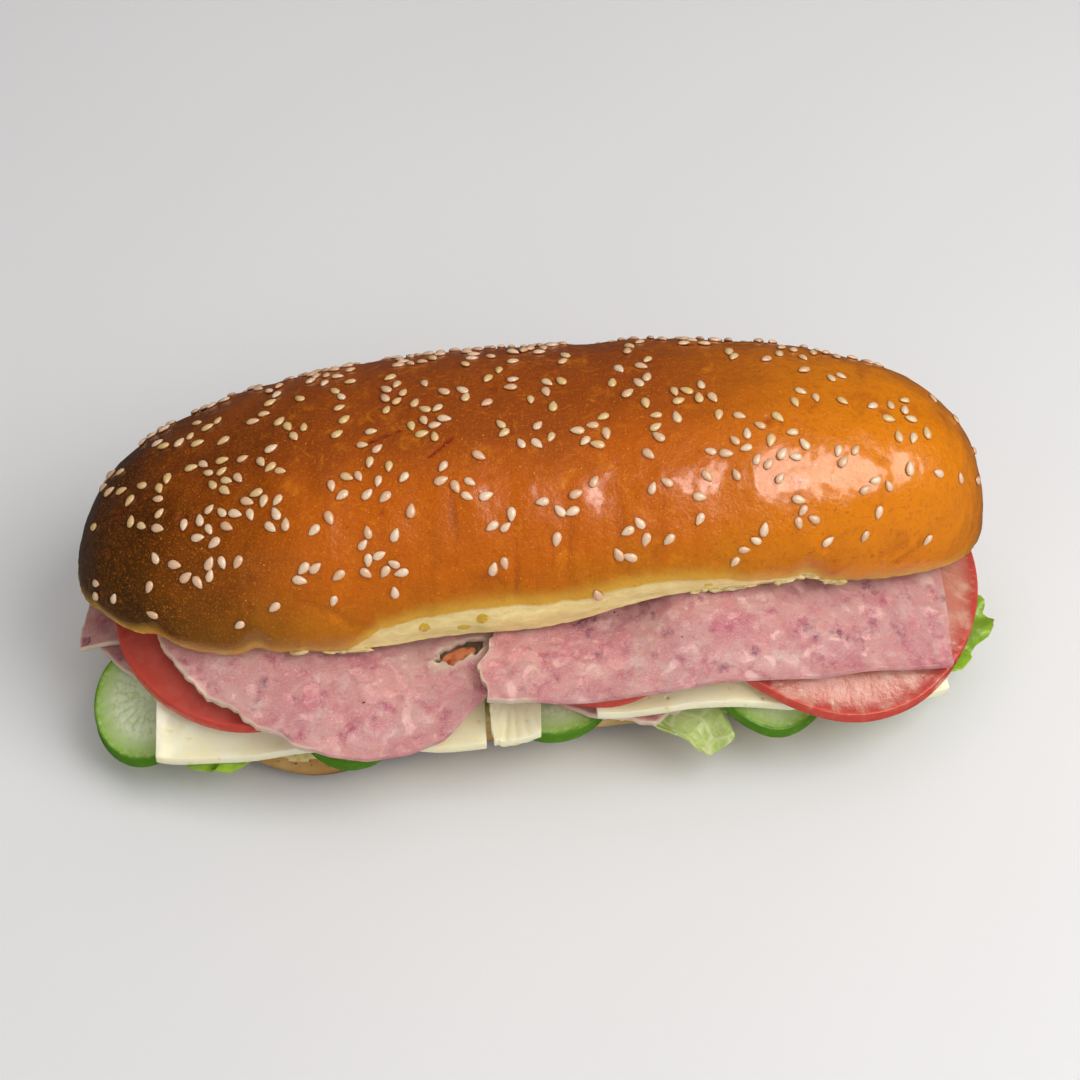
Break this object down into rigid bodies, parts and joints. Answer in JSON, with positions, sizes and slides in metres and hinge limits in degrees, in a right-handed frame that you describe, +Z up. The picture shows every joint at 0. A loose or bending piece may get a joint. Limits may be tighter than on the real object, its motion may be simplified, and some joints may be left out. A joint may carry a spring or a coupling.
{
  "type": "smoked beef sandwich",
  "caption": "Long glossy sesame roll, cut in two, filled with smoked beef slices, cheese, tomato, cucumber and lettuce that show along its front.",
  "frame": {"origin": "middle of the flat spot under the bottom roll", "axes": "+X along the roll, to the right as seen from its open front; +Y towards its back; +Z up"},
  "size_m": [0.2151, 0.1004, 0.0765],
  "materials": {
    "crust": "glossy egg-washed crust with sesame seeds",
    "bread": "matte baked underside and pale crumb",
    "beef": "moist, marbled slice",
    "cheese": "satin, slightly oily",
    "tomato": "wet skin and flesh",
    "cucumber": "wet flesh in a dark green skin",
    "lettuce": "waxy leaf"
  },
  "bodies": {
    "root": {"top_roll": "crust", "bottom_roll": "bread", "beef_left": "beef", "beef_right": "beef", "beef_under_fold": "beef", "beef_under_left": "beef", "beef_under_middle": "beef", "cheese_left": "cheese", "cheese_right": "cheese", "cheese_strip": "cheese", "tomato_left": "tomato", "tomato_middle": "tomato", "tomato_right": "tomato", "cucumber_end": "cucumber", "cucumber_left": "cucumber", "cucumber_middle": "cucumber", "cucumber_right": "cucumber", "lettuce_left": "lettuce", "lettuce_middle": "lettuce", "lettuce_right": "lettuce"}
  },
  "joints": []
}
